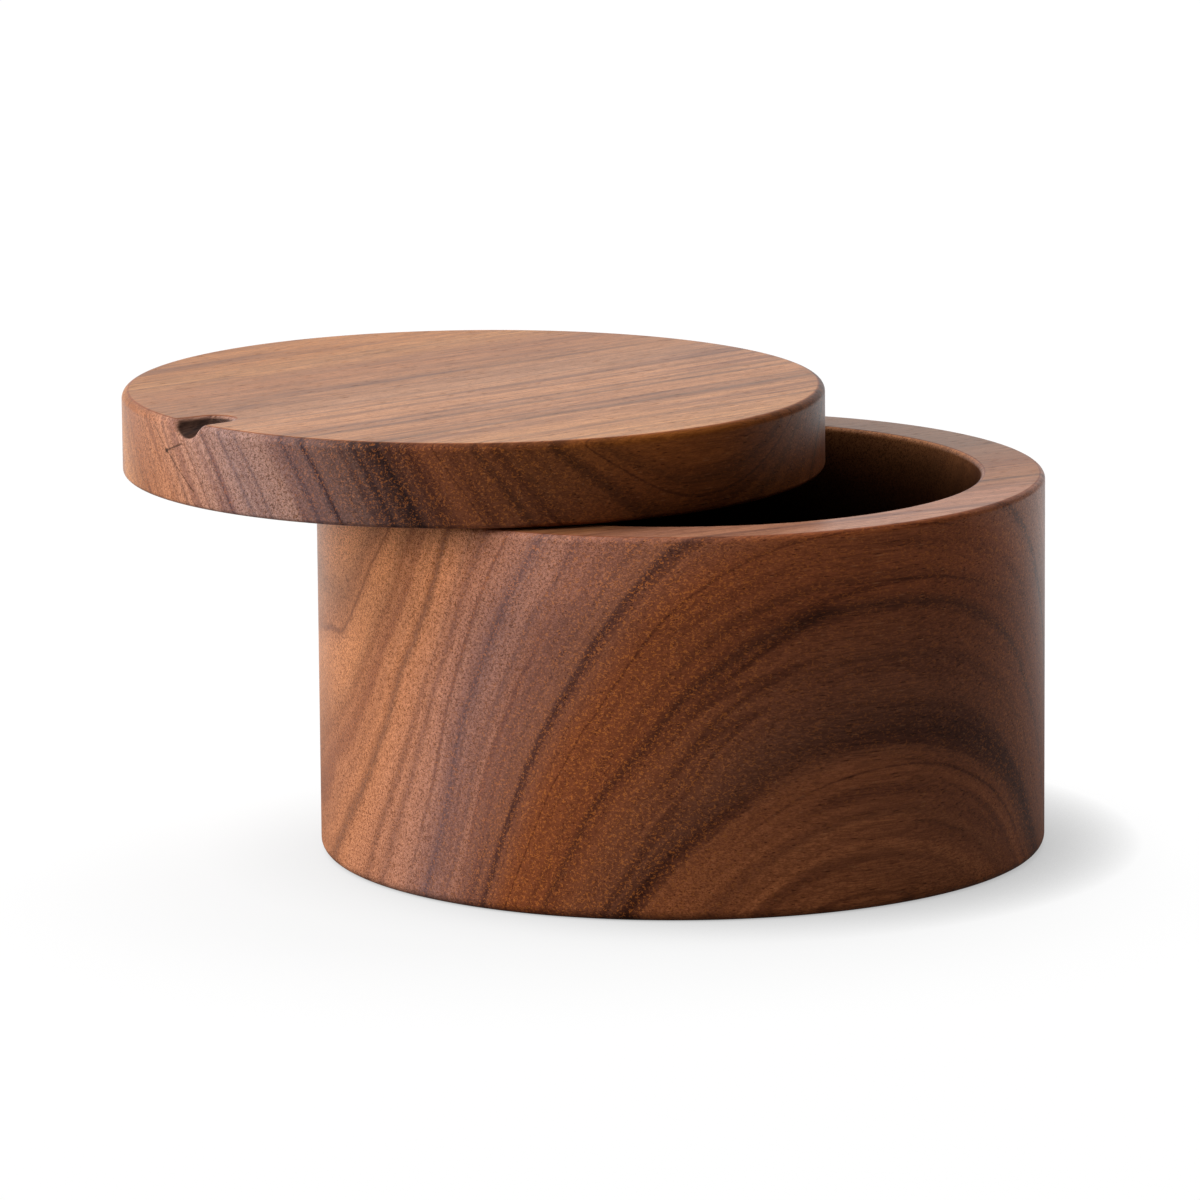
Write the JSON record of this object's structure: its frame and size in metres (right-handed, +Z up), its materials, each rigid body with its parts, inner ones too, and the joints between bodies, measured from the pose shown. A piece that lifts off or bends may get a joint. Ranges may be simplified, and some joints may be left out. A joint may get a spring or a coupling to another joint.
{
  "type": "salt box with hinged lid",
  "caption": "Round turned wooden salt box with a flat lid that swivels sideways on a hidden upright pivot, with a thumb notch in the lid's edge.",
  "frame": {"origin": "centre of the body's base, on the surface it stands on", "axes": "+Z up along the body's axis, -Y towards the front, the lid swung towards -X at rest"},
  "size_m": [0.1521, 0.1223, 0.0764],
  "materials": {
    "body_wood": "oiled satin",
    "lid_wood": "oiled satin",
    "insert_brass": "turned",
    "screw_steel": "bright",
    "washer_nylon": "matte",
    "washer_steel": "bright",
    "spring_steel": "spring temper"
  },
  "bodies": {
    "base": {"body": "body_wood", "thrust_washer": "washer_nylon", "flat_washer": "washer_steel"},
    "lid": {"lid": "lid_wood", "lid_insert": "insert_brass", "pivot_screw": "screw_steel", "spring_washer": "spring_steel"}
  },
  "joints": [
    {"name": "lid_swivel", "type": "hinge", "parent": "base", "child": "lid", "pos_m": [-0.01071, 0.05262, 0.06265], "axis": [0, 0, 1], "range_deg": [-142.7, 37.3]}
  ]
}
